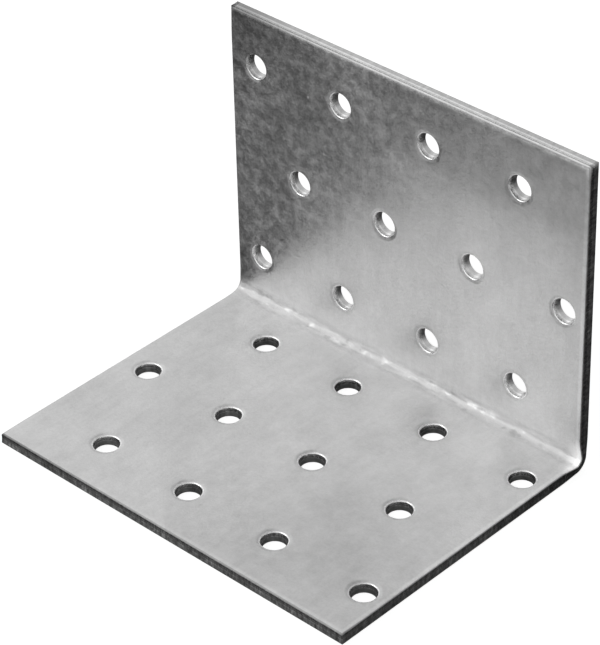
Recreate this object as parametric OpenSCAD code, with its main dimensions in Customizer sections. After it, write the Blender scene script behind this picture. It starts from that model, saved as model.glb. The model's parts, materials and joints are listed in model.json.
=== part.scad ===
// Perforated angle bracket, folded from one piece of galvanised sheet steel.
// The sheet is cut and punched flat and then folded once, so both legs carry the same
// staggered grid of nail holes. The cut edges are rolled over on the inner faces, and the
// holes have a small rounded mouth there.
//
// X runs along the fold, the upright leg stands at the back (+Y) and Z is up.
// The origin lies on the underside of the base leg, at the middle of the footprint.

/* [Sheet] */
// Thickness of the sheet
sheet_t = 2; // [1.5:0.1:3]
// Radius on the inside of the fold
fold_r = 0.5; // [0.3:0.1:3]
// Radius that cutting rolls onto the inner edges of the blank
edge_roll = 0.3; // [0.2:0.05:0.8]

/* [Legs] */
// Width of both legs, along the fold
width = 80; // [50:1:240]
// Height of the upright leg, over the outer faces
upright_h = 61.5; // [40:0.1:160]
// Depth of the base leg, over the outer faces
base_d = 61.9; // [40:0.1:160]

/* [Holes] */
// Diameter of the nail holes
hole_d = 4.4; // [3:0.1:7]
// Distance between holes in one row
hole_pitch = 20; // [14:0.5:30]
// Distance between neighbouring rows
row_pitch = 20; // [14:0.5:30]
// Sideways step from one row to the next
stagger = 10; // [0:0.5:15]
// From the left edge to the first hole of the row at the top of the upright
side_margin = 5.4; // [5:0.1:10]
// From the free end of each leg to its outermost row
end_margin = 10.2; // [6:0.1:15]
// Radius on the mouth of each hole, on the inner face
mouth_roll = 0.2; // [0.1:0.05:0.6]

/* [Hidden] */

// How far cutting shapes run past the faces that they cut
past = 1;

fold_outer_r = fold_r + sheet_t;
back_y = base_d / 2;
front_y = -base_d / 2;
left_x = -width / 2;
right_x = width / 2;
hole_r = hole_d / 2;

// A row keeps this much flat sheet between its holes and the fold
fold_clear = sheet_t + hole_r + mouth_roll;
upright_rows = row_count(upright_h);
base_rows = row_count(base_d);

$fn = 64;

// Rows that fit on a leg between its free end and the fold
function row_count(leg) = floor((leg - fold_outer_r - fold_clear - end_margin) / row_pitch) + 1;

// Every second row steps sideways, counted from the top of the upright through the fold
function row_start(row) = left_x + side_margin + (row % 2) * stagger;

// Places of the holes along one row
function row_xs(row) = [
    for (x = row_start(row); x <= right_x - hole_r - mouth_roll - edge_roll; x = x + hole_pitch) x
];

// Corner of sheet that a rolled edge of radius r takes away.
// The sheet lies at positive x and positive y, with its sharp corner at the origin.
module roll_cut(r) {
    difference() {
        translate([-past, -past]) square(r + past);
        translate([r, r]) circle(r);
    }
}

// One rounded heel: the quarter of the fold between two radii, seen in the section
module fold_quarter(r_in, r_out) {
    intersection() {
        difference() {
            circle(r_out);
            circle(r_in);
        }
        translate([0, -r_out]) square(r_out);
    }
}

// Section across the fold, drawn with the depth along x and the height along y
module section() {
    difference() {
        union() {
            translate([front_y, 0]) square([base_d - fold_outer_r, sheet_t]);
            translate([back_y - sheet_t, fold_outer_r]) square([sheet_t, upright_h - fold_outer_r]);
            translate([back_y - fold_outer_r, fold_outer_r]) fold_quarter(fold_r, fold_outer_r);
        }
        // rolled edge along the front of the base leg
        translate([front_y, sheet_t]) mirror([0, 1]) roll_cut(edge_roll);
        // rolled edge along the top of the upright leg
        translate([back_y - sheet_t, upright_h]) mirror([0, 1]) roll_cut(edge_roll);
    }
}

// The folded sheet before its holes and its side edges
module folded_sheet() {
    translate([left_x, 0, 0]) rotate([90, 0, 90]) linear_extrude(width) section();
}

// Rolled edge down one side of both legs and round the inside of the fold, on the right side
module side_roll() {
    // along the upright leg
    translate([right_x, back_y - sheet_t, fold_outer_r])
        linear_extrude(upright_h) mirror([1, 0]) roll_cut(edge_roll);
    // along the base leg
    translate([right_x, back_y - fold_outer_r, sheet_t])
        rotate([90, 0, 0]) linear_extrude(base_d) mirror([1, 0]) mirror([0, 1]) roll_cut(edge_roll);
    // round the fold
    translate([right_x, back_y - fold_outer_r, fold_outer_r])
        rotate([0, 90, 0]) rotate_extrude(angle = 90)
            intersection() {
                translate([fold_r, 0]) mirror([0, 1]) roll_cut(edge_roll);
                translate([0, -edge_roll - past]) square([fold_r + edge_roll + past, edge_roll + 2 * past]);
            }
}

// One punched hole, with its rounded mouth at z = 0, running along +z through the sheet
module punched_hole() {
    rotate_extrude()
        union() {
            translate([0, -past]) square([hole_r, sheet_t + 2 * past]);
            intersection() {
                translate([hole_r, 0]) roll_cut(mouth_roll);
                translate([0, -past]) square([hole_r + mouth_roll, past + mouth_roll]);
            }
        }
}

module upright_holes() {
    for (row = [0:upright_rows - 1], x = row_xs(row))
        translate([x, back_y - sheet_t, upright_h - end_margin - row * row_pitch])
            rotate([-90, 0, 0]) punched_hole();
}

module base_holes() {
    for (row = [0:base_rows - 1], x = row_xs(upright_rows + base_rows - 1 - row))
        translate([x, front_y + end_margin + row * row_pitch, sheet_t])
            rotate([180, 0, 0]) punched_hole();
}

module angle_bracket() {
    color("silver")
        difference() {
            folded_sheet();
            side_roll();
            mirror([1, 0, 0]) side_roll();
            upright_holes();
            base_holes();
        }
}

angle_bracket();
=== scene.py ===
"""Perforated angle bracket: galvanised sheet steel, punched flat and folded once.

The sheet is laid out flat, with its punched holes, its rolled entry edges and its torn exit
edges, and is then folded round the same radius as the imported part, which it stands in for.
"""

import json
import math

import bpy
from mathutils import Matrix, Vector


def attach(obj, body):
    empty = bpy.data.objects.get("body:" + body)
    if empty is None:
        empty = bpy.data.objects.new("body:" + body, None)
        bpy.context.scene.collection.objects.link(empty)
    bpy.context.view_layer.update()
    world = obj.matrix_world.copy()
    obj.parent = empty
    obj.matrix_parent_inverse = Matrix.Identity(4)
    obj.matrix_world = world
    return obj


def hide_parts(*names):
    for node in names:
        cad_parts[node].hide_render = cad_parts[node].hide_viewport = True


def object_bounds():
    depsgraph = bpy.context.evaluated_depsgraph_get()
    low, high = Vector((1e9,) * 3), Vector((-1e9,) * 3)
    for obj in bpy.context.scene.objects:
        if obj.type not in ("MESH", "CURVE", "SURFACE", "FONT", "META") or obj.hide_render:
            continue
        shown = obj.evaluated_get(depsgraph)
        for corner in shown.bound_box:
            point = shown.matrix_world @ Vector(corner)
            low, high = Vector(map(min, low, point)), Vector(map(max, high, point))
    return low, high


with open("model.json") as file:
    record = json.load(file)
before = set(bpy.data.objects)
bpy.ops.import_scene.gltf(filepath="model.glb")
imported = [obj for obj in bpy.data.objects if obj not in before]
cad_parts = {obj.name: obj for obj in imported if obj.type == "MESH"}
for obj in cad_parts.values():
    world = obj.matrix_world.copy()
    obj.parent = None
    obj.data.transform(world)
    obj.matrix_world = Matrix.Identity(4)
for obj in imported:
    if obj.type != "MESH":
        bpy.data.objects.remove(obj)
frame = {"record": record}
cad_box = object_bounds()

MM = 0.001

# ---- sizes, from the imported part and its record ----
MOUNTS = {mount["name"]: mount for mount in frame["record"]["mounts"]}
LOW, HIGH = cad_box
HALF_WIDTH = (HIGH.x - LOW.x) / 2
SHEET = MOUNTS["upright_top_1"]["dims"]["length_mm"] * MM
HOLE_RADIUS = MOUNTS["upright_top_1"]["dims"]["r_mm"] * MM
TOP_ROW = MOUNTS["upright_top_1"]["pos_m"]
FRONT_ROW = MOUNTS["base_front_1"]["pos_m"]
HOLE_PITCH = MOUNTS["upright_top_2"]["pos_m"][0] - TOP_ROW[0]
ROW_PITCH = TOP_ROW[2] - MOUNTS["upright_mid_1"]["pos_m"][2]
STAGGER = FRONT_ROW[0] - TOP_ROW[0]
END_MARGIN = HIGH.z - TOP_ROW[2]
HOLES_IN_ROW = 4
ROWS = 6

# the fold, and how much of the flat blank it uses up
FOLD_RADIUS = 0.5 * MM
FOLD_FILLET = 1.9 * MM
FOLD_OUTER = FOLD_RADIUS + SHEET
BASE_FLAT = HIGH.y - LOW.y - FOLD_OUTER
UPRIGHT_FLAT = HIGH.z - LOW.z - FOLD_OUTER
BLANK = 2 * END_MARGIN + (ROWS - 1) * ROW_PITCH
FOLD_FLAT = BLANK - BASE_FLAT - UPRIGHT_FLAT

# what the cutting tools leave
EDGE_ROLL_WIDE = 0.4 * MM
EDGE_ROLL_DEEP = 0.28 * MM
FRONT_ROLL = 1.15
SIDE_ROLL = 0.6
TOP_ROLL = 1.5
ROLL_EASES_OVER = 5.0 * MM
CUT_WIDER_LEFT = 0.33 * MM
MOUTH_FLARE = 0.13 * MM
MOUTH_ROLL_WIDE = 0.36 * MM
MOUTH_ROLL_DEEP = 0.26 * MM
DISH_WIDE = 0.55 * MM
DISH_DEEP = 0.11 * MM
BURNISHED_TO = 0.5
EDGE_TEAR = -0.07 * MM
HOLE_TEAR = -0.06 * MM
EXIT_DEEP = 0.06 * MM
EXIT_INSETS = (0.03 * MM, 0.08 * MM)
FLARE_GROWTH = 1.3
TEAR_DEEP = 0.09 * MM
TEAR_WAVES = 2600.0
TEAR_LEVEL = 0.62
TORN_BAND = (0.5, 0.72, 0.94, 1.0)

# what the folding tool leaves
FOLD_MARK_DEEP = 0.4 * MM
FOLD_MARK_REACH = 3.2 * MM
FOLD_MARKS_FADE = (0.3, 1.0)
FILLET_WANDER = 0.4
# waves in a metre along and across the fold, and the place in the noise
FOLD_MARK_NOISE = (230, 560, 3.7)
FILLET_NOISE = (110, 0, 5.1)
END_BULGE = 0.7 * MM
BULGE_ACROSS = 5.0 * MM
BULGE_ALONG = 5.5 * MM
LEFT_BULGE = 0.3
DRAWN_IN = 0.25

# the mesh grid: a square round each hole, cut into parts along each side, and what lies between
CELL_HALF = 3.7 * MM
CELL_PARTS = 12
GAP_ACROSS = 0.75 * MM
GAP_ALONG = 0.95 * MM
SUPPORT = 0.07 * MM
ROLL_STEPS = 6
TORN_STEPS = 5
DISH_STEPS = 6
NEAR_FOLD = 2.2 * MM
NEAR_FOLD_PARTS = 9
FOLD_PARTS = 16
FACE_BLEND = 0.5
BACK_BLENDS = (0.7, 0.35)
WELD = 0.01 * MM


# ---- node trees ----
class Socket:
    """One output in a node tree; arithmetic on it adds Math nodes."""

    def __init__(self, tree, socket):
        self.tree = tree
        self.socket = socket

    def math(self, operation, *others):
        return self.tree.node("ShaderNodeMath", {"operation": operation}, [self, *others])

    def __add__(self, other):
        return self.math("ADD", other)

    def __radd__(self, other):
        return self.math("ADD", other)

    def __sub__(self, other):
        return self.math("SUBTRACT", other)

    def __rsub__(self, other):
        return self.tree.node("ShaderNodeMath", {"operation": "SUBTRACT"}, [other, self])

    def __mul__(self, other):
        return self.math("MULTIPLY", other)

    def __rmul__(self, other):
        return self.math("MULTIPLY", other)

    def __truediv__(self, other):
        return self.math("DIVIDE", other)

    def __rtruediv__(self, other):
        return self.tree.node("ShaderNodeMath", {"operation": "DIVIDE"}, [other, self])

    def __pow__(self, other):
        return self.math("POWER", other)

    def least(self, other):
        return self.math("MINIMUM", other)

    def most(self, other):
        return self.math("MAXIMUM", other)

    def length(self):
        return self.tree.node("ShaderNodeVectorMath", {"operation": "LENGTH"}, [self], output="Value")

    def between(self, low, high):
        """0 below low, 1 above high, eased in the middle."""
        return self.tree.node(
            "ShaderNodeMapRange",
            {"interpolation_type": "SMOOTHSTEP"},
            {"Value": self, "From Min": low, "From Max": high},
        )

    def band(self, starts, full, ends, over):
        """0 up to starts, 1 from full to ends and 0 again past over."""
        return self.between(starts, full) * (1 - self.between(ends, over))


class Tree:
    """A node tree that is filled by naming each node's settings and inputs."""

    def __init__(self, nodes_tree):
        self.tree = nodes_tree
        self.tree.nodes.clear()

    def node(self, kind, settings=None, inputs=None, output=0):
        """Adds one node: its settings first, then its inputs by name or in order."""
        made = self.tree.nodes.new(kind)
        for name, value in (settings or {}).items():
            setattr(made, name, value)
        given = inputs or {}
        pairs = enumerate(given) if isinstance(given, list) else given.items()
        for key, value in pairs:
            self.feed(made.inputs[key], value)
        if output is None:
            return made
        return Socket(self, made.outputs[output])

    def feed(self, target, value):
        if isinstance(value, (list, tuple)) and value and isinstance(value[0], Socket):
            for each in value:
                self.tree.links.new(each.socket, target)
        elif isinstance(value, Socket):
            self.tree.links.new(value.socket, target)
        elif value is not None:
            target.default_value = value

    def xyz(self, vector):
        parts = self.node("ShaderNodeSeparateXYZ", None, [vector], output=None)
        return [Socket(self, part) for part in parts.outputs]

    def vector(self, x, y, z):
        return self.node("ShaderNodeCombineXYZ", None, [x, y, z])

    def noise(self, place, waves, detail=2.0, rough=0.5):
        """Soft noise about 0.5, with this many waves in a metre."""
        return self.node(
            "ShaderNodeTexNoise",
            None,
            {"Vector": place, "Scale": waves, "Detail": detail, "Roughness": rough},
        )


# ---- the flat blank ----
def spread(low, high, parts):
    """Places from low to high, without the last one."""
    return [low + (high - low) * i / parts for i in range(parts)]


def grid_lines(low, high, inset, centres, gap_part):
    """Grid lines from one cut edge to the other: even over each hole's square, coarser between."""
    lines = [low + inset, low + inset + SUPPORT]
    for centre in centres:
        start = centre - CELL_HALF
        parts = max(1, round((start - lines[-1]) / gap_part))
        lines += spread(lines[-1], start, parts)[1:]
        lines += spread(start, centre + CELL_HALF, CELL_PARTS) + [centre + CELL_HALF]
    last = high - inset - SUPPORT
    parts = max(1, round((last - lines[-1]) / gap_part))
    lines += spread(lines[-1], last, parts)[1:] + [last, high - inset]
    return lines


def roll_profile(wide, deep):
    """Steps (inset, depth) of a rolled entry edge, from the flat face down to the cut wall."""
    steps = []
    for i in range(ROLL_STEPS + 1):
        turn = math.pi / 2 * i / ROLL_STEPS
        steps.append((wide * (1 - math.sin(turn)), deep * (1 - math.cos(turn))))
    return steps


def wall_profile(deep, tear):
    """Steps (inset, depth) down the cut wall below its rolled edge, to the torn exit edge."""
    burnished = SHEET * BURNISHED_TO
    torn_end = SHEET - EXIT_DEEP
    steps = [(0.0, (deep + burnished) / 2), (0.0, burnished)]
    for i in range(1, TORN_STEPS + 1):
        steps.append((tear * i / TORN_STEPS, burnished + (torn_end - burnished) * i / TORN_STEPS))
    return steps + [(tear + inset, SHEET) for inset in EXIT_INSETS]


def row_centres():
    """Rows of holes up the blank, from its front edge."""
    return [END_MARGIN + i * ROW_PITCH for i in range(ROWS)]


def column_centres():
    """Columns of holes across the blank, half a pitch apart, with both kinds of row in them."""
    count = int((2 * HALF_WIDTH - (TOP_ROW[0] + HALF_WIDTH)) / STAGGER) + 1
    return [TOP_ROW[0] + i * STAGGER for i in range(count)]


def has_hole(x, y):
    """True inside the square round a hole of the staggered grid on the flat blank."""
    for row, y_hole in enumerate(row_centres()):
        if abs(y - y_hole) < CELL_HALF:
            start = TOP_ROW[0] + (STAGGER if row % 2 == 0 else 0)
            return any(abs(x - start - i * HOLE_PITCH) < CELL_HALF for i in range(HOLES_IN_ROW))
    return False


def fine_fold_lines(lines):
    """Adds close lines across the fold, where the sheet turns."""
    start, end = BASE_FLAT, BASE_FLAT + FOLD_FLAT
    first, last = start - NEAR_FOLD, end + NEAR_FOLD
    kept = [y for y in lines if y < first or y > last]
    kept += spread(first, start, NEAR_FOLD_PARTS)
    kept += spread(start, end, FOLD_PARTS)
    kept += spread(end, last, NEAR_FOLD_PARTS)
    kept.append(last)
    return sorted(kept)


def flat_blank():
    """The blank as a closed shell, open only at the squares where the punched holes go."""
    roll_wide = EDGE_ROLL_WIDE * TOP_ROLL
    xs = grid_lines(-HALF_WIDTH, HALF_WIDTH, roll_wide, column_centres(), GAP_ACROSS)
    ys = fine_fold_lines(grid_lines(0, BLANK, roll_wide, row_centres(), GAP_ALONG))
    profile = roll_profile(EDGE_ROLL_WIDE, EDGE_ROLL_DEEP) + wall_profile(EDGE_ROLL_DEEP, EDGE_TEAR)
    columns, rows = len(xs), len(ys)

    def roll_share(j):
        """How strongly the edge is rolled here: least at the sides, more in front, most at the top."""
        from_front = min(1.0, ys[j] / ROLL_EASES_OVER) if j else 0.0
        from_top = min(1.0, (BLANK - ys[j]) / ROLL_EASES_OVER) if j < rows - 1 else 0.0
        at_front = (FRONT_ROLL - SIDE_ROLL) * (1 - from_front)
        at_top = (TOP_ROLL - SIDE_ROLL) * (1 - from_top)
        return SIDE_ROLL + at_front + at_top

    def at(i, j, step):
        """Place on the blank: x, y and depth, drawn in from the cut edge at this step."""
        inset, depth = profile[step]
        if step < ROLL_STEPS:
            inset, depth = inset * roll_share(j), depth * roll_share(j)
        x, y = xs[i], ys[j]
        if i == 0:
            x = -HALF_WIDTH - CUT_WIDER_LEFT + inset
        elif i == columns - 1:
            x = HALF_WIDTH - inset
        if j == 0:
            y = inset
        elif j == rows - 1:
            y = BLANK - inset
        return x, y, depth

    points, cut, faces = [], [], []
    number = {}

    def point(key, x, y, depth, cut_depth):
        """The number of this point, which is made the first time that it is asked for."""
        if key not in number:
            number[key] = len(points)
            points.append((x, y, -depth))
            cut.append(cut_depth)
        return number[key]

    last_step = len(profile) - 1
    for side, step in ((0, 0), (1, last_step)):
        for i in range(columns - 1):
            for j in range(rows - 1):
                if has_hole((xs[i] + xs[i + 1]) / 2, (ys[j] + ys[j + 1]) / 2):
                    continue
                corners = [(i, j), (i + 1, j), (i + 1, j + 1), (i, j + 1)]
                ring = []
                for a, b in corners:
                    edge = a in (0, columns - 1) or b in (0, rows - 1)
                    key = ("rim", step, a, b) if edge else ("face", side, a, b)
                    ring.append(point(key, *at(a, b, step), 0.0))
                faces.append(ring if side == 0 else ring[::-1])

    rim = [(i, 0) for i in range(columns - 1)]
    rim += [(columns - 1, j) for j in range(rows - 1)]
    rim += [(i, rows - 1) for i in range(columns - 1, 0, -1)]
    rim += [(0, j) for j in range(rows - 1, 0, -1)]
    for step in range(last_step):
        for k, (i, j) in enumerate(rim):
            i2, j2 = rim[(k + 1) % len(rim)]
            quad = []
            for s, a, b in ((step + 1, i, j), (step + 1, i2, j2), (step, i2, j2), (step, i, j)):
                on_face = s in (0, last_step)
                place = at(a, b, s)
                quad.append(point(("rim", s, a, b), *place, 0.0 if on_face else place[2] / SHEET))
            faces.append(quad)
    return mesh_object("blank_layout", points, faces, cut)


def square_place(k):
    """Place k on the outline of a hole's square, counted from its lower left corner."""
    side, step = divmod(k, CELL_PARTS)
    along = -CELL_HALF + 2 * CELL_HALF * step / CELL_PARTS
    return [(along, -CELL_HALF), (CELL_HALF, along), (-along, CELL_HALF), (-CELL_HALF, -along)][side]


def punched_square():
    """One punched hole in its square of sheet, with its rolled mouth and torn exit."""
    count = 4 * CELL_PARTS
    mouth = HOLE_RADIUS + MOUTH_FLARE + MOUTH_ROLL_WIDE
    dish = mouth + DISH_WIDE
    rings = [("square", 0.0, 0.0, 0.0), ("blend", FACE_BLEND, 0.0, 0.0)]
    for step in range(DISH_STEPS):
        in_dish = step / DISH_STEPS
        rings.append(("circle", dish - DISH_WIDE * in_dish, DISH_DEEP * in_dish ** 2, 0.0))
    profile = roll_profile(MOUTH_ROLL_WIDE, MOUTH_ROLL_DEEP) + wall_profile(MOUTH_ROLL_DEEP, HOLE_TEAR)
    for step, (inset, depth) in enumerate(profile):
        on_face = step in (0, len(profile) - 1)
        above = max(0.0, 1 - depth / (SHEET * BURNISHED_TO))
        radius = HOLE_RADIUS + inset + MOUTH_FLARE * min(1.0, above * FLARE_GROWTH)
        rings.append(("circle", radius, depth + DISH_DEEP * above, 0.0 if on_face else depth / SHEET))
    rings += [("blend", share, SHEET, 0.0) for share in BACK_BLENDS]
    rings.append(("square", 0.0, SHEET, 0.0))

    points, cut, faces = [], [], []
    for form, size, depth, cut_depth in rings:
        for k in range(count):
            x, y = square_place(k)
            turn = math.radians(-135 + 360 * k / count)
            radius = size if form == "circle" else dish
            share = {"square": 0.0, "blend": size, "circle": 1.0}[form]
            x += (radius * math.cos(turn) - x) * share
            y += (radius * math.sin(turn) - y) * share
            points.append((x, y, -depth))
            cut.append(cut_depth)
    for ring in range(len(rings) - 1):
        for k in range(count):
            a, b = ring * count + k, ring * count + (k + 1) % count
            faces.append([a, b, b + count, a + count])
    return mesh_object("punched_square_layout", points, faces, cut)


def mesh_object(name, points, faces, cut):
    """One object of this mesh, with the depth down the cut wall kept on its points."""
    mesh = bpy.data.meshes.new(name)
    mesh.from_pydata(points, [], faces)
    depth = mesh.attributes.new("cut_depth", "FLOAT", "POINT")
    depth.data.foreach_set("value", cut)
    mesh.validate()
    made = bpy.data.objects.new(name, mesh)
    bpy.context.scene.collection.objects.link(made)
    return made


# ---- punching and folding ----
def punch_and_fold_tree():
    """Sets a punched square in each opening of the blank, then folds the blank."""
    group = bpy.data.node_groups.new("punch_and_fold", "GeometryNodeTree")
    group.interface.new_socket("Geometry", in_out="OUTPUT", socket_type="NodeSocketGeometry")
    names = {}
    for name, kind in (
        ("Blank", "NodeSocketGeometry"),
        ("Punched square", "NodeSocketObject"),
        ("Finish", "NodeSocketMaterial"),
        ("First hole", "NodeSocketVector"),
        ("Hole pitch", "NodeSocketFloat"),
        ("Row pitch", "NodeSocketFloat"),
        ("Stagger", "NodeSocketFloat"),
        ("Holes in row", "NodeSocketInt"),
        ("Rows", "NodeSocketInt"),
        ("Sheet", "NodeSocketFloat"),
        ("Half width", "NodeSocketFloat"),
        ("Front", "NodeSocketFloat"),
        ("Base flat", "NodeSocketFloat"),
        ("Fold flat", "NodeSocketFloat"),
        ("Fold radius", "NodeSocketFloat"),
        ("Fold fillet", "NodeSocketFloat"),
        ("End bulge", "NodeSocketFloat"),
        ("Tear", "NodeSocketFloat"),
        ("Fold marks", "NodeSocketFloat"),
    ):
        names[name] = group.interface.new_socket(name, in_out="INPUT", socket_type=kind).identifier
    tree = Tree(group)
    entry = tree.node("NodeGroupInput", output=None)
    given = {name: Socket(tree, entry.outputs[name]) for name in names}
    position = tree.node("GeometryNodeInputPosition")

    # holes on a staggered grid, counted from the front edge of the blank
    holes, rows = given["Holes in row"], given["Rows"]
    grid = tree.node(
        "GeometryNodeMeshGrid",
        None,
        {
            "Size X": given["Hole pitch"] * (holes - 1),
            "Size Y": given["Row pitch"] * (rows - 1),
            "Vertices X": holes,
            "Vertices Y": rows,
        },
    )
    x, y, _ = tree.xyz(position)
    first_x, first_y, _ = tree.xyz(given["First hole"])
    row = (y / given["Row pitch"] + (rows - 1) / 2).math("ROUND")
    odd = row.math("MODULO", 2)
    placed = tree.node(
        "GeometryNodeSetPosition",
        None,
        {
            "Geometry": grid,
            "Position": tree.vector(
                x + given["Hole pitch"] * (holes - 1) / 2 + first_x - odd * given["Stagger"],
                y + given["Row pitch"] * (rows - 1) / 2 + first_y,
                0.0,
            ),
        },
    )
    punch = tree.node(
        "GeometryNodeObjectInfo",
        None,
        {"Object": given["Punched square"]},
        output="Geometry",
    )
    punched = tree.node("GeometryNodeInstanceOnPoints", None, {"Points": placed, "Instance": punch})
    punched = tree.node("GeometryNodeRealizeInstances", None, {"Geometry": punched})
    joined = tree.node("GeometryNodeJoinGeometry", None, {"Geometry": [given["Blank"], punched]})
    joined = tree.node("GeometryNodeMergeByDistance", None, {"Geometry": joined, "Distance": WELD})

    # the place on the flat sheet stays with each point, for the finish
    laid_out = tree.node(
        "GeometryNodeStoreNamedAttribute",
        {"data_type": "FLOAT_VECTOR", "domain": "POINT"},
        {"Geometry": joined, "Name": "flat_place", "Value": position},
    )

    # torn metal on the lower half of each cut wall
    cut = tree.node("GeometryNodeInputNamedAttribute", {"data_type": "FLOAT"}, {"Name": "cut_depth"})
    torn = cut.band(*TORN_BAND)
    grain = tree.noise(position, TEAR_WAVES, 3.0)
    normal = tree.node("GeometryNodeInputNormal")
    offset = tree.node(
        "ShaderNodeVectorMath",
        {"operation": "SCALE"},
        {0: normal, "Scale": (grain - TEAR_LEVEL) * given["Tear"] * torn},
    )
    torn_sheet = tree.node("GeometryNodeSetPosition", None, {"Geometry": laid_out, "Offset": offset})

    # folding: s runs up the blank, and the depth is taken from the inner face
    x, s, height = tree.xyz(position)
    start, length = given["Base flat"], given["Fold flat"]
    middle = start + length * 0.5
    angle = ((s - start) / length).most(0.0).least(1.0) * (math.pi / 2)
    depth = 0.0 - height
    radius = given["Fold radius"] + depth
    outer = given["Fold radius"] + given["Sheet"]
    bend_y = s.least(start) + radius * angle.math("SINE")
    bend_z = outer - radius * angle.math("COSINE") + (s - start - length).most(0.0)

    # the inside of the fold is fuller than the bend: a wandering fillet with pressed marks
    def fold_noise(along, across, place):
        return tree.noise(tree.vector(x * along, s * across, place), 1.0, 3.0)

    wander = 1 - FILLET_WANDER / 2 + fold_noise(*FILLET_NOISE) * FILLET_WANDER
    fillet = given["Fold fillet"] * wander
    wider = fillet - given["Fold radius"]
    first, last = start - wider, start + length + wider
    turn = ((s - first) / (last - first)).most(0.0).least(1.0) * (math.pi / 2)
    at_fold = 1 - ((s - middle) / FOLD_MARK_REACH).math("ABSOLUTE").between(*FOLD_MARKS_FADE)
    raised = (fold_noise(*FOLD_MARK_NOISE) - 0.5) * given["Fold marks"] * at_fold
    inside = fillet - raised
    full_y = s.least(first) + inside * turn.math("SINE")
    full_z = outer + wider - inside * turn.math("COSINE") + (s - last).most(0.0)
    inner_y = s.least(start) + given["Fold radius"] * angle.math("SINE")
    inner_z = outer - given["Fold radius"] * angle.math("COSINE") + (s - start - length).most(0.0)
    from_outside = (1 + height / given["Sheet"]).most(0.0).least(1.0)
    folded_y = given["Front"] + bend_y + (full_y - inner_y) * from_outside
    folded_z = bend_z + (full_z - inner_z) * from_outside

    # the inside of the fold is squeezed out at its ends, less at the left, and the outside drawn in
    from_end = (x.math("ABSOLUTE") - given["Half width"] + BULGE_ACROSS) / BULGE_ACROSS
    near_fold = 1 - ((s - middle) / BULGE_ALONG).math("ABSOLUTE").between(0.0, 1.0)
    reach = from_end.most(0.0) ** 2
    squeeze = 1.0 - (1 + DRAWN_IN) * (depth / given["Sheet"]).most(0.0).least(1.0)
    one_sided = (1 + LEFT_BULGE) / 2 + x.math("SIGN") * ((1 - LEFT_BULGE) / 2)
    folded_x = x + x.math("SIGN") * reach * near_fold * squeeze * given["End bulge"] * one_sided
    folded = tree.node(
        "GeometryNodeSetPosition",
        None,
        {"Geometry": torn_sheet, "Position": tree.vector(folded_x, folded_y, folded_z)},
    )
    smooth = tree.node("GeometryNodeSetShadeSmooth", None, {"Geometry": folded})
    whole = tree.node("GeometryNodeRealizeInstances", None, {"Geometry": smooth})
    finished = tree.node(
        "GeometryNodeSetMaterial",
        None,
        {"Geometry": whole, "Material": given["Finish"]},
    )
    tree.node("NodeGroupOutput", None, {"Geometry": finished}, output=None)
    return group, names


def bracket(finish):
    """The punched and folded sheet, as one plain mesh."""
    blank = flat_blank()
    square = punched_square()
    group, names = punch_and_fold_tree()
    work = blank.modifiers.new("punch_and_fold", "NODES")
    work.node_group = group
    for name, value in {
        "Punched square": square,
        "Finish": finish,
        "First hole": (FRONT_ROW[0], END_MARGIN, 0.0),
        "Hole pitch": HOLE_PITCH,
        "Row pitch": ROW_PITCH,
        "Stagger": STAGGER,
        "Holes in row": HOLES_IN_ROW,
        "Rows": ROWS,
        "Sheet": SHEET,
        "Half width": HALF_WIDTH,
        "Front": LOW.y,
        "Base flat": BASE_FLAT,
        "Fold flat": FOLD_FLAT,
        "Fold radius": FOLD_RADIUS,
        "Fold fillet": FOLD_FILLET,
        "End bulge": END_BULGE,
        "Tear": TEAR_DEEP,
        "Fold marks": FOLD_MARK_DEEP,
    }.items():
        work[names[name]] = value
    bpy.context.view_layer.update()
    shown = blank.evaluated_get(bpy.context.evaluated_depsgraph_get())
    mesh = bpy.data.meshes.new_from_object(shown)
    mesh.name = "folded_sheet"
    made = bpy.data.objects.new("folded_sheet", mesh)
    bpy.context.scene.collection.objects.link(made)
    for layout in (blank, square):
        bpy.data.objects.remove(layout)
    return made


# ---- finish ----
ZINC_SHADE = 0.59
ZINC_ROUGHNESS = 0.42
BUMP_DEPTH = 0.06 * MM

# noise in the zinc: waves in a metre, detail and roughness
ZINC_NOISE = {
    "clouds": (60.0, 4.0, 0.6),
    "patches": (500.0, 4.0, 0.8),
    "mottle": (150.0, 3.0, 0.6),
    "grain": (2200.0, 2.0, 0.5),
}
BRIGHT_NOISE = (300.0, 2.0, 0.6)
DARK_NOISE = (330.0, 2.0, 0.6)
LIVELY_NOISE = (30.0, 2.0)
SPECK_NOISE = (620.0, 1.0)

# drawn-out noise: waves in a metre along x, y and z, and then its scale, detail and roughness
STREAK_WAVES = (700, 90, 700)
STREAK_NOISE = (1.0, 3.0, 0.6)
SCORE_WAVES = (1500, 1500, 500)
SCORE_NOISE = (1.0, 3.0, 0.7)

# the dull haze on the faces: where it shows in the noise, and how dull it is
HAZE_IN_PATCHES = (0.4, 0.7)
HAZE_IN_MOTTLE = (0.35, 0.7)
LIVELY_ABOVE = (0.38, 0.6)
SPECKS_ABOVE = (0.74, 0.79)
PATCH_HAZE = 0.14
LIVELY_HAZE = 0.15
MOTTLE_HAZE = 0.06
SPECK_HAZE = 0.6

# how far each pattern moves the shade, the roughness and the height
SHADE_PATTERNS = {"clouds": 0.3, "patches": 0.36, "mottle": 0.16, "streaks": 0.1, "grain": 0.14}
ROUGHNESS_PATTERNS = {"clouds": 0.2, "patches": 0.4, "grain": 0.2}
HEIGHT_PATTERNS = {"streaks": 0.15, "grain": 0.35, "patches": 1.0}

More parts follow.
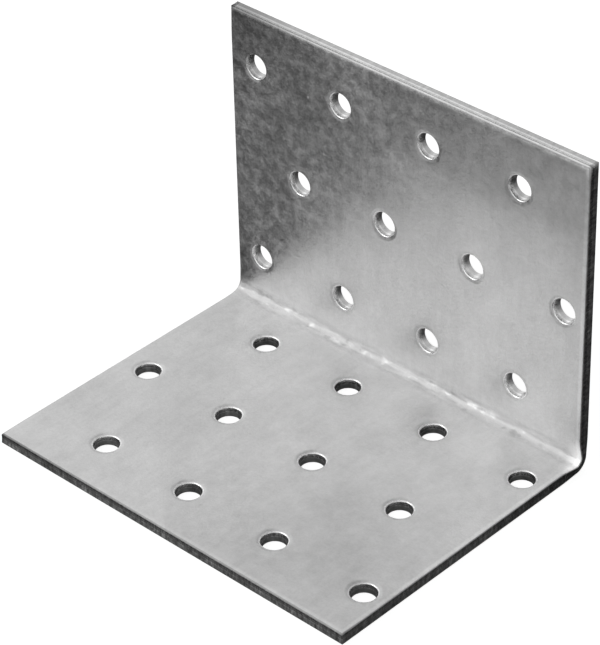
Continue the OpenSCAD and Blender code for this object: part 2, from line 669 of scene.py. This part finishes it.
# marks down the cut wall, as shares of its depth: starts, is full, begins to end, is over
CUT_BANDS = {
    "mouth": (0.002, 0.015, 0.1, 0.2),
    "rolled": (0.004, 0.02, 0.16, 0.3),
    "burnished": (0.08, 0.14, 0.46, 0.54),
    "break_line": (0.4, 0.46, 0.5, 0.56),
    "front_roll": (0.0, 0.1, 0.14, 0.26),
    "top_turn": (0.03, 0.05, 0.09, 0.14),
    "top_roll": (0.1, 0.15, 0.25, 0.35),
}
TORN_BELOW = (0.5, 0.62)
BELOW_FACE = (0.0, 0.01)
PAST_HAZE = (0.005, 0.03)
BELOW_EDGE = (0.0, 0.05)
BELOW_LIP = (0.05, 0.1)
BELOW_ROLL = (0.1, 0.2)
SCORED_BELOW = (0.02, 0.1)
SIDE_WALL = (0.01, 0.1)
FRONT_WALL = (0.2, 0.3)
UPRIGHT_FROM = (BLANK * 0.5, BLANK * 0.52)

# how strong the scores are in the holes, how much stronger on the edges and weaker at the top
SCORES_IN_HOLE = 0.5
SCORES_ON_EDGE = 1.7
SCORES_AT_TOP = 1.4

# strips along the cut edges, by the distance past the edge: fades in, is full
EDGE_STRIP = (-1.4 * MM, -1.0 * MM)
LIP_STRIP = (-1.0 * MM, -0.6 * MM)
BEAD_STRIP = (-1.1 * MM, -0.7 * MM)
SIDE_STRIP = (-0.5 * MM, -0.2 * MM)
# and at the front and the top, by the distance in from the edge: begins to end, is over
END_STRIP = (0.5 * MM, 3.0 * MM)

# how much lighter or darker a mark makes the shade, as a share of it
MARK_SHADE = {
    "torn": -0.15,
    # painted shade on the rolled edges, dimming their highlight
    "rolled": -0.3,
    "break_line": 0.25,
    # the punch burnishes the holes' mouths, and a painted highlight lightens them further
    "mouth": 0.4,
    "scoring": 1.0,
    "left_roll": -0.3,
    "bead": 0.16,
    "on_side": -0.18,
    "on_front": 0.22,
    "front_roll": -0.5,
    "top_lip": 0.26,
    "top_turn": 0.2,
    "top_roll": -0.24,
    "dull_top": -0.15,
    "light_right": 0.08,
}
# what a mark adds to the shade, and to the roughness
ADDED_SHADE = {
    # a little painted light on the pressed fold
    "pressed": 0.03,
    "bright_spots": 0.12,
    "dark_spots": -0.14,
    "at_end": 0.28,
    "flank": 0.05,
    "burnished_hole": 0.08,
    "upright_hole": 0.2,
}
ADDED_ROUGHNESS = {
    "scored": 0.4,
    "polished": -0.2,
    "mouth": -0.15,
    "pressed": 0.23,
    "bright_spots": -0.12,
    "rolled": 0.18,
}

# broad patches of painted shade and painted light, placed on the flat blank
PAINTED_SHADE_SPOTS = [  # place, reach and how much duller
    ((24.0 * MM, 12.0 * MM), 30.0 * MM, 0.13),
    ((-39.0 * MM, 118.0 * MM), 17.0 * MM, 0.4),
]
TOP_PAINTED_SHADE_FROM = (BLANK - 19.0 * MM, BLANK - 11.5 * MM)
TOP_PAINTED_SHADE_RIGHT_OF = (-20.0 * MM, 12.0 * MM)
RIGHT_PAINTED_LIGHT_ACROSS = (6.0 * MM, 22.0 * MM, 31.0 * MM, 37.0 * MM)
RIGHT_PAINTED_LIGHT_ABOVE = (BASE_FLAT, BASE_FLAT + 10.0 * MM)

# where the noise shows a polished spot with a painted highlight, or a spot of painted shade, in the
# fold
BRIGHT_ABOVE = (0.54, 0.68)
DARK_ABOVE = (0.58, 0.7)
# the fold: distances from its middle, in millimetres, where its marks fade
PRESSED_WITHIN = (1.0, 3.2)
BRIGHT_WITHIN = (0.6, 2.0)
END_WITHIN = (1.6, 5.5)
FLANK_BAND = (0.9, 1.7, 2.3, 3.8)
RIGHT_END = (HALF_WIDTH - 3.0 * MM, HALF_WIDTH - 0.6 * MM)


def zinc_patterns(tree, flat, x, y, z):
    """Soft clouds, patches, a finer mottle, grain and rolling streaks, each about 0.5."""
    patterns = {name: tree.noise(flat, *sizes) for name, sizes in ZINC_NOISE.items()}
    streaked = tree.vector(*(part * waves for part, waves in zip((x, y, z), STREAK_WAVES)))
    patterns["streaks"] = tree.noise(streaked, *STREAK_NOISE)
    return patterns


def cut_marks(tree, x, y, z, cut):
    """Cut walls: rolled over at the entry, burnished below it and torn on the exit half, with painted
    light and painted shade on rolls and walls.
    """
    past_side = x.math("ABSOLUTE") - HALF_WIDTH
    past_edge = past_side.most((y - BLANK / 2).math("ABSOLUTE") - BLANK / 2)
    on_edge = past_edge.between(*EDGE_STRIP)
    in_hole = 1 - on_edge
    # painted shade on the side walls of the cut
    on_side = past_side.between(*SIDE_STRIP) * cut.between(*SIDE_WALL)
    at_front = (1 - y.between(*END_STRIP)) * on_edge
    at_top = (1 - (BLANK - y).between(*END_STRIP)) * on_edge
    # the rolled edges are rougher, and darkened by painted shade that dims their highlight
    rolled = cut.band(*CUT_BANDS["rolled"]) * on_edge
    burnished = cut.band(*CUT_BANDS["burnished"])
    # painted light on the lower walls of the upright's holes
    upright_hole = in_hole * cut.between(*BELOW_ROLL) * y.between(*UPRIGHT_FROM)

    # the blade scores the wall on its way down, least along the top
    down_wall = tree.vector(*(part * waves for part, waves in zip((x, y, z), SCORE_WAVES)))
    scored = (tree.noise(down_wall, *SCORE_NOISE) - 0.5) * cut.between(*SCORED_BELOW)
    scoring = scored * (SCORES_IN_HOLE + on_edge * (SCORES_ON_EDGE - at_top * SCORES_AT_TOP))
    # the zinc is a little thicker beside the cut, and a painted highlight lightens it there, most at
    # the right
    bead = past_edge.between(*BEAD_STRIP) * (1 - cut.between(*BELOW_FACE))
    bead = bead * x.between(-HALF_WIDTH, HALF_WIDTH)
    return {
        "at_top": at_top,
        # mouths burnished by the punch and lightened by a painted highlight
        "mouth": cut.band(*CUT_BANDS["mouth"]) * in_hole,
        "rolled": rolled,
        # burnished hole walls, lightened further by painted light
        "burnished_hole": burnished * in_hole,
        "upright_hole": upright_hole,
        "polished": burnished * (1 - upright_hole * 0.5),
        "break_line": cut.band(*CUT_BANDS["break_line"]),
        "torn": cut.between(*TORN_BELOW),
        "on_side": on_side,
        # painted light on the front wall of the cut
        "on_front": at_front * (1 - on_side) * cut.between(*FRONT_WALL),
        # painted shade down the front edge's roll, so that it shows no highlight
        "front_roll": cut.band(*CUT_BANDS["front_roll"]) * at_front,
        # painted light and painted shade across the top edge's roll, shaping its highlight band
        "top_lip": past_edge.between(*LIP_STRIP) * (1 - cut.between(*BELOW_LIP)) * at_top,
        "top_turn": cut.band(*CUT_BANDS["top_turn"]) * at_top,
        "top_roll": cut.band(*CUT_BANDS["top_roll"]) * at_top,
        "bead": bead,
        # painted shade along the left edge's roll, for a darker line at that edge
        "left_roll": rolled * (0.0 - x).between(0.0, HALF_WIDTH),
        "scored": scored,
        "scoring": scoring,
    }


def fold_marks(tree, flat, x, y, z, cut):
    """The fold, pressed matt by the tool, with painted highlights, painted shade and painted light on
    it.
    """
    from_fold = ((y - (BASE_FLAT + FOLD_FLAT / 2)) / MM).math("ABSOLUTE")
    above_wall = 1 - cut.between(*BELOW_ROLL)
    # the pressed fold is rougher, and lifted by a little painted light
    pressed = (1 - from_fold.between(*PRESSED_WITHIN)) * above_wall
    bright = tree.noise(flat, *BRIGHT_NOISE).between(*BRIGHT_ABOVE)
    dark = tree.noise(tree.vector(x, y + 0.2, z), *DARK_NOISE).between(*DARK_ABOVE)
    return {
        "pressed": pressed,
        "bright_spots": bright * (1 - from_fold.between(*BRIGHT_WITHIN)),
        "dark_spots": dark * pressed,
        # a painted highlight on the bulge at the fold's right end
        "at_end": x.between(*RIGHT_END) * (1 - from_fold.between(*END_WITHIN)) * above_wall,
        # painted light on the flanks of the fold
        "flank": from_fold.band(*FLANK_BAND) * (1 - cut.between(*BELOW_EDGE)),
    }


def broad_tones(x, y, at_top):
    """Painted shade in a strip under the top edge and painted light below it, both to the right."""
    dull_top = y.between(*TOP_PAINTED_SHADE_FROM) * x.between(*TOP_PAINTED_SHADE_RIGHT_OF)
    light_right = x.band(*RIGHT_PAINTED_LIGHT_ACROSS) * y.between(*RIGHT_PAINTED_LIGHT_ABOVE)
    return {"dull_top": dull_top * (1 - at_top), "light_right": light_right * (1 - dull_top)}


def zinc_finish():
    """Galvanised steel: soft grey zinc with a faint cloudy grain, marks along cuts and fold, and
    painted light and shade on edges, fold and broad patches.
    """
    material = bpy.data.materials.new("galvanised_steel")
    material.use_nodes = True
    tree = Tree(material.node_tree)
    flat = tree.node("ShaderNodeAttribute", {"attribute_name": "flat_place"}, output="Vector")
    cut = tree.node("ShaderNodeAttribute", {"attribute_name": "cut_depth"}, output="Fac")
    x, y, z = tree.xyz(flat)
    patterns = zinc_patterns(tree, flat, x, y, z)
    marks = cut_marks(tree, x, y, z, cut)
    marks.update(fold_marks(tree, flat, x, y, z, cut))
    marks.update(broad_tones(x, y, marks["at_top"]))

    shade = ZINC_SHADE
    for name, amount in SHADE_PATTERNS.items():
        shade = shade + (patterns[name] - 0.5) * amount
    for name, share in MARK_SHADE.items():
        shade = shade * (1 + marks[name] * share)
    # spots of painted shade
    for (dull_x, dull_y), reach, share in PAINTED_SHADE_SPOTS:
        dull = 1 - tree.vector(x - dull_x, y - dull_y, 0.0).length().between(0.0, reach)
        shade = shade * (1 - dull * share)
    for name, amount in ADDED_SHADE.items():
        shade = shade + marks[name] * amount
    colour = tree.node(
        "ShaderNodeMix",
        {"data_type": "RGBA"},
        {"Factor": shade, "A": (0, 0, 0, 1), "B": (1, 1, 1, 1)},
        output="Result",
    )

    roughness = ZINC_ROUGHNESS
    for name, amount in ROUGHNESS_PATTERNS.items():
        roughness = roughness + (patterns[name] - 0.5) * amount
    for name, amount in ADDED_ROUGHNESS.items():
        roughness = roughness + marks[name] * amount

    # a dull haze on the faces that comes and goes, with a few flecks
    lively = tree.noise(flat, *LIVELY_NOISE).between(*LIVELY_ABOVE)
    specks = tree.noise(tree.vector(x + 0.3, y, z), *SPECK_NOISE).between(*SPECKS_ABOVE)
    haze = patterns["patches"].between(*HAZE_IN_PATCHES) * (PATCH_HAZE + lively * LIVELY_HAZE)
    haze = haze + patterns["mottle"].between(*HAZE_IN_MOTTLE) * MOTTLE_HAZE + specks * SPECK_HAZE
    haze = haze * (1 - cut.between(*PAST_HAZE))

    height = sum(patterns[name] * amount for name, amount in HEIGHT_PATTERNS.items())
    bump = tree.node(
        "ShaderNodeBump",
        None,
        {"Strength": 1.0, "Distance": BUMP_DEPTH, "Height": height},
    )
    shader = tree.node(
        "ShaderNodeBsdfPrincipled",
        None,
        {"Base Color": colour, "Metallic": 1 - haze, "Roughness": roughness, "Normal": bump},
    )
    tree.node("ShaderNodeOutputMaterial", None, {"Surface": shader}, output=None)
    return material


# ---- floor, light and camera ----
FLOOR_IN_VIEW = 0.86
FLOOR_HALF = 1.5
FLOOR_DROP = 0.02 * MM
FLOOR_PAINT = 0.3
FLOOR_PAINT_IN_METAL = 0.03

# strengths at which the metal sees the bench
FLOOR_IN_METAL = 0.12
SHADE_IN_METAL = 0.012
LEFT_IN_METAL = 0.07
BEYOND_IN_METAL = 0.2
# the card is painted light, and the close share is painted shadow, both seen only in the metal
CARD_IN_METAL = 0.6
CLOSE_PAINTED_SHADOW_SHARE = 0.4
FAR_LEFT_DIMMER = 0.75

# and where its parts lie, in metres
CARD_WAY = (0.55, -0.835)
CARD_FROM = (0.05, 0.092)
BEHIND_BAND = (-0.01, 0.03, 0.13, 0.3)
BEYOND_FROM = (0.15, 0.3)
BESIDE_WITHIN = 0.03
FAR_LEFT_FROM = (0.055, 0.1)
NEAR_LEFT_BAND = (0.0, 0.006, 0.01, 0.05)
NEAR_LEFT_FROM = (-0.035, -0.01)

# strengths at which the metal and the floor see the studio
WORLD_ON_FLOOR = 0.6
HORIZON_IN_METAL = 0.26
OVERHEAD_IN_METAL = 0.55
LEFT_OF_STUDIO = 0.3

# and where its parts lie, as parts of a direction of length 1
DIAGONAL = 0.707
STUDIO_BEHIND = (0.1, 0.8)
HORIZON_LIFT = 0.32
HORIZON_TO_HIGH = (-0.1, 0.5)
OVERHEAD_FROM = (0.64, 0.8)
STUDIO_LEFT_BAND = (-0.1, 0.25, 0.4, 0.75)

SOFTBOX_WAY = (-0.567, -0.592, 0.572)
SOFTBOX_AWAY = 1.3
SOFTBOX_WIDE = 1.0
SOFTBOX_ENERGY = 5.0

CAMERA_AZIMUTH = 43.93
CAMERA_ELEVATION = 34.91
CAMERA_ROLL = -1.42
CAMERA_TARGET = (-1.31 * MM, 4.04 * MM, 25.23 * MM)
CAMERA_AWAY = 523 * MM
CAMERA_LENS = 172.6
CAMERA_SENSOR = 36
CAMERA_NEAR = 0.01


def ray_kinds(tree):
    """Camera, glossy and transmission rays, each 1 or 0."""
    path = tree.node("ShaderNodeLightPath", output=None)
    kinds = ("Camera", "Glossy", "Transmission")
    return [Socket(tree, path.outputs["Is " + kind + " Ray"]) for kind in kinds]


def bench_in_metal(x, y):
    """How bright the metal sees the bench.

    It is dark, with painted shadow darkest behind and close to the sheet, a strip of painted light
    beside the left edge, and painted light in the shape of a pale card in front to the right.
    """
    card = (x * CARD_WAY[0] + y * CARD_WAY[1]).between(*CARD_FROM)
    behind = y.band(*BEHIND_BAND)
    beyond = y.between(*BEYOND_FROM) * BEYOND_IN_METAL
    past_sides = x.math("ABSOLUTE") - HALF_WIDTH
    beside = past_sides.most(y.math("ABSOLUTE") - HIGH.y).between(0.0, BESIDE_WITHIN)
    far_left = (0.0 - x).between(*FAR_LEFT_FROM)
    near_left = (LOW.x - x).band(*NEAR_LEFT_BAND) * y.between(*NEAR_LEFT_FROM)
    lit = (1 - behind) * (1 - far_left * FAR_LEFT_DIMMER)
    lit = lit * (CLOSE_PAINTED_SHADOW_SHARE + beside * (1 - CLOSE_PAINTED_SHADOW_SHARE))
    bench = SHADE_IN_METAL + lit * (FLOOR_IN_METAL - SHADE_IN_METAL)
    bench = bench + near_left * (1 - behind) * LEFT_IN_METAL + beyond
    return bench + card * (CARD_IN_METAL - FLOOR_IN_METAL)


def floor():
    """A pale floor that keeps the bracket's shadow, and that the metal sees as a dark bench with
    painted shadow and painted light.
    """
    mesh = bpy.data.meshes.new("floor")
    half, drop = FLOOR_HALF, -FLOOR_DROP
    corners = [(-half, -half, drop), (half, -half, drop), (half, half, drop), (-half, half, drop)]
    mesh.from_pydata(corners, [], [(0, 1, 2, 3)])
    made = bpy.data.objects.new("floor", mesh)
    bpy.context.scene.collection.objects.link(made)
    material = bpy.data.materials.new("pale_floor")
    material.use_nodes = True
    tree = Tree(material.node_tree)
    camera_ray, glossy, transmission = ray_kinds(tree)
    place = tree.node("ShaderNodeTexCoord", output="Object")
    x, y, _ = tree.xyz(place)
    strength = (camera_ray + transmission) * FLOOR_IN_VIEW + glossy * bench_in_metal(x, y)
    glow = tree.node("ShaderNodeEmission", None, {"Color": (1, 1, 1, 1), "Strength": strength})
    paint = tree.node("ShaderNodeBsdfDiffuse", None, {"Color": grey(FLOOR_PAINT)})
    dim = tree.node("ShaderNodeBsdfDiffuse", None, {"Color": grey(FLOOR_PAINT_IN_METAL)})
    seen = tree.node("ShaderNodeMixShader", None, [glossy, paint, dim])
    both = tree.node("ShaderNodeAddShader", None, [glow, seen])
    tree.node("ShaderNodeOutputMaterial", None, {"Surface": both}, output=None)
    mesh.materials.append(material)


def grey(shade):
    """A neutral colour of this shade."""
    return (shade, shade, shade, 1)


def surroundings():
    """A white studio that the metal sees darker at the horizon and overhead, lighter to the left."""
    world = bpy.data.worlds.new("studio")
    bpy.context.scene.world = world
    world.use_nodes = True
    tree = Tree(world.node_tree)
    camera_ray, glossy, transmission = ray_kinds(tree)
    direction = tree.node("ShaderNodeTexCoord", output="Generated")
    x, y, up = tree.xyz(direction)
    behind = ((x + y) * DIAGONAL).between(*STUDIO_BEHIND)
    rising = (up - behind * HORIZON_LIFT).between(*HORIZON_TO_HIGH)
    overhead = up.between(*OVERHEAD_FROM)
    to_left = ((x + y) * -DIAGONAL).band(*STUDIO_LEFT_BAND) * rising
    in_metal = HORIZON_IN_METAL + rising * (1 - HORIZON_IN_METAL)
    in_metal = in_metal + overhead * (OVERHEAD_IN_METAL - 1) + to_left * LEFT_OF_STUDIO
    seen = camera_ray + transmission
    elsewhere = 1 - seen - glossy
    strength = seen + glossy * in_metal + elsewhere * WORLD_ON_FLOOR
    light = tree.node("ShaderNodeBackground", None, {"Color": (1, 1, 1, 1), "Strength": strength})
    tree.node("ShaderNodeOutputWorld", None, {"Surface": light}, output=None)


def softbox():
    """One large soft lamp, high up in front and to the left."""
    data = bpy.data.lights.new("softbox", "AREA")
    data.shape = "DISK"
    data.size = SOFTBOX_WIDE
    data.energy = SOFTBOX_ENERGY
    made = bpy.data.objects.new("softbox", data)
    towards = Vector(SOFTBOX_WAY).normalized()
    turn = towards.to_track_quat("Z", "Y").to_matrix().to_4x4()
    made.matrix_world = Matrix.Translation(towards * SOFTBOX_AWAY) @ turn
    bpy.context.scene.collection.objects.link(made)


def camera():
    """The camera of the photo, solved from its straight edges and hole centres."""
    azimuth, elevation = math.radians(CAMERA_AZIMUTH), math.radians(CAMERA_ELEVATION)
    across = math.cos(elevation)
    back = Vector((math.sin(azimuth) * across, -math.cos(azimuth) * across, math.sin(elevation)))
    right = Vector((0, 0, 1)).cross(back).normalized()
    level = Matrix((right, back.cross(right), back)).transposed()
    turn = level @ Matrix.Rotation(math.radians(CAMERA_ROLL), 3, "Z")
    data = bpy.data.cameras.new("camera")
    data.lens = CAMERA_LENS
    data.sensor_width = CAMERA_SENSOR
    data.clip_start = CAMERA_NEAR
    made = bpy.data.objects.new("camera", data)
    place = Vector(CAMERA_TARGET) + back * CAMERA_AWAY
    made.matrix_world = Matrix.Translation(place) @ turn.to_4x4()
    bpy.context.scene.collection.objects.link(made)
    bpy.context.scene.camera = made


camera()
floor()
surroundings()
softbox()

sheet = bracket(zinc_finish())
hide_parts("angle_bracket")
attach(sheet, "root")

bpy.context.scene.view_settings.view_transform = "Standard"
